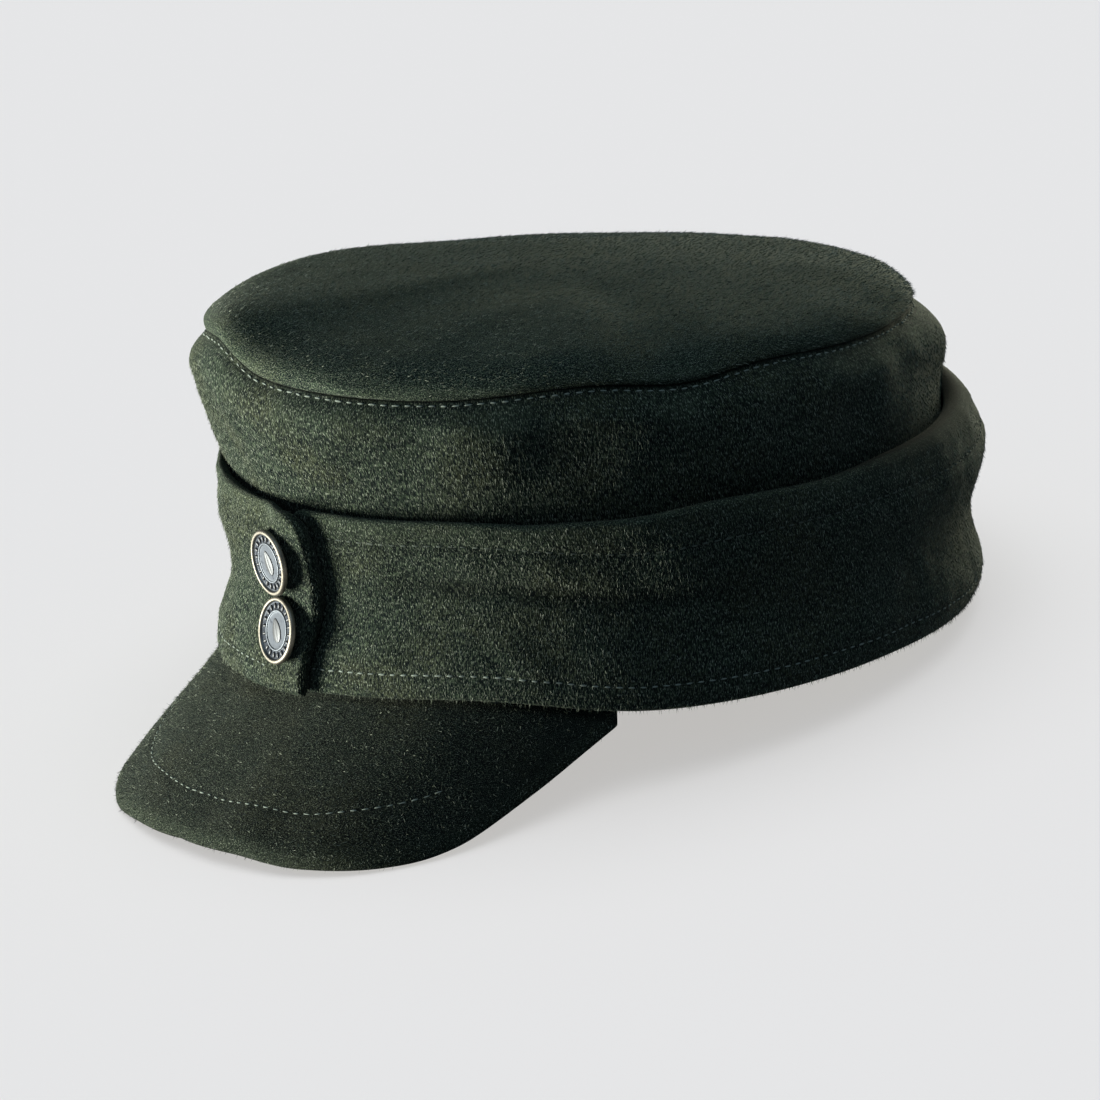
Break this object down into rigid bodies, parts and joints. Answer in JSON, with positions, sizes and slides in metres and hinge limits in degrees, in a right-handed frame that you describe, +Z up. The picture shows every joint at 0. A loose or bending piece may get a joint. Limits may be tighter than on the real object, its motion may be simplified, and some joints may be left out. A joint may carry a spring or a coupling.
{
  "type": "forester hat",
  "caption": "Soft wool cap with a round crown, a turned-up curtain that closes over itself at the front under metal buttons, and a short sloping peak.",
  "frame": {"origin": "under the middle of the cap's box, on the surface that it stands on", "axes": "+Z up, +Y from the peak to the back of the head, +X to the wearer's left; the cap is tilted as it stands, on its peak and the back of its rim"},
  "size_m": [0.183, 0.2524, 0.1212],
  "materials": {
    "wool": "dark green milled wool cloth with a short nap",
    "button_metal": "aged silver-coloured metal with dark hollows"
  },
  "bodies": {
    "root": {"crown_side": "wool", "crown_top": "wool", "curtain": "wool", "peak": "wool", "button_upper": "button_metal", "button_lower": "button_metal"}
  },
  "joints": []
}
